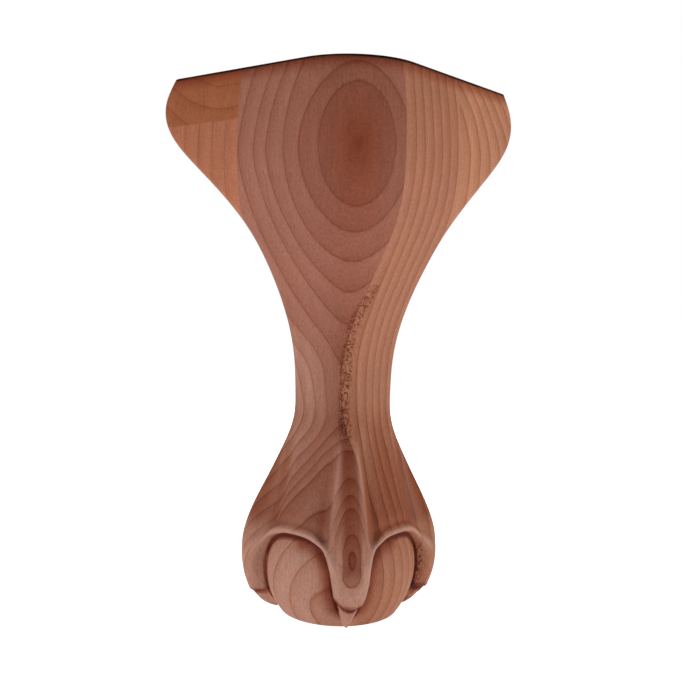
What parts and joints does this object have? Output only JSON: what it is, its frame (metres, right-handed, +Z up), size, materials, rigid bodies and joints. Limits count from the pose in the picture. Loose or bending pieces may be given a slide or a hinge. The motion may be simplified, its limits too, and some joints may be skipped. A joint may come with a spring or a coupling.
{
  "type": "claw and ball foot",
  "caption": "Short carved cabriole leg with a full knee, side wings at right angles, a slim ankle and a flat-bottomed ball gripped by clawed toes, for the corner of a cabinet or seat.",
  "frame": {"origin": "on the floor, at the middle of the flat that the ball stands on", "axes": "+Z up the leg to its flat top, -Y out through the front corner and the front claw, X across the wings"},
  "size_m": [0.1428, 0.0793, 0.2032],
  "materials": {
    "carved_wood": "sanded bare hardwood"
  },
  "bodies": {
    "root": {"claw_and_ball_foot": "carved_wood"}
  },
  "joints": []
}
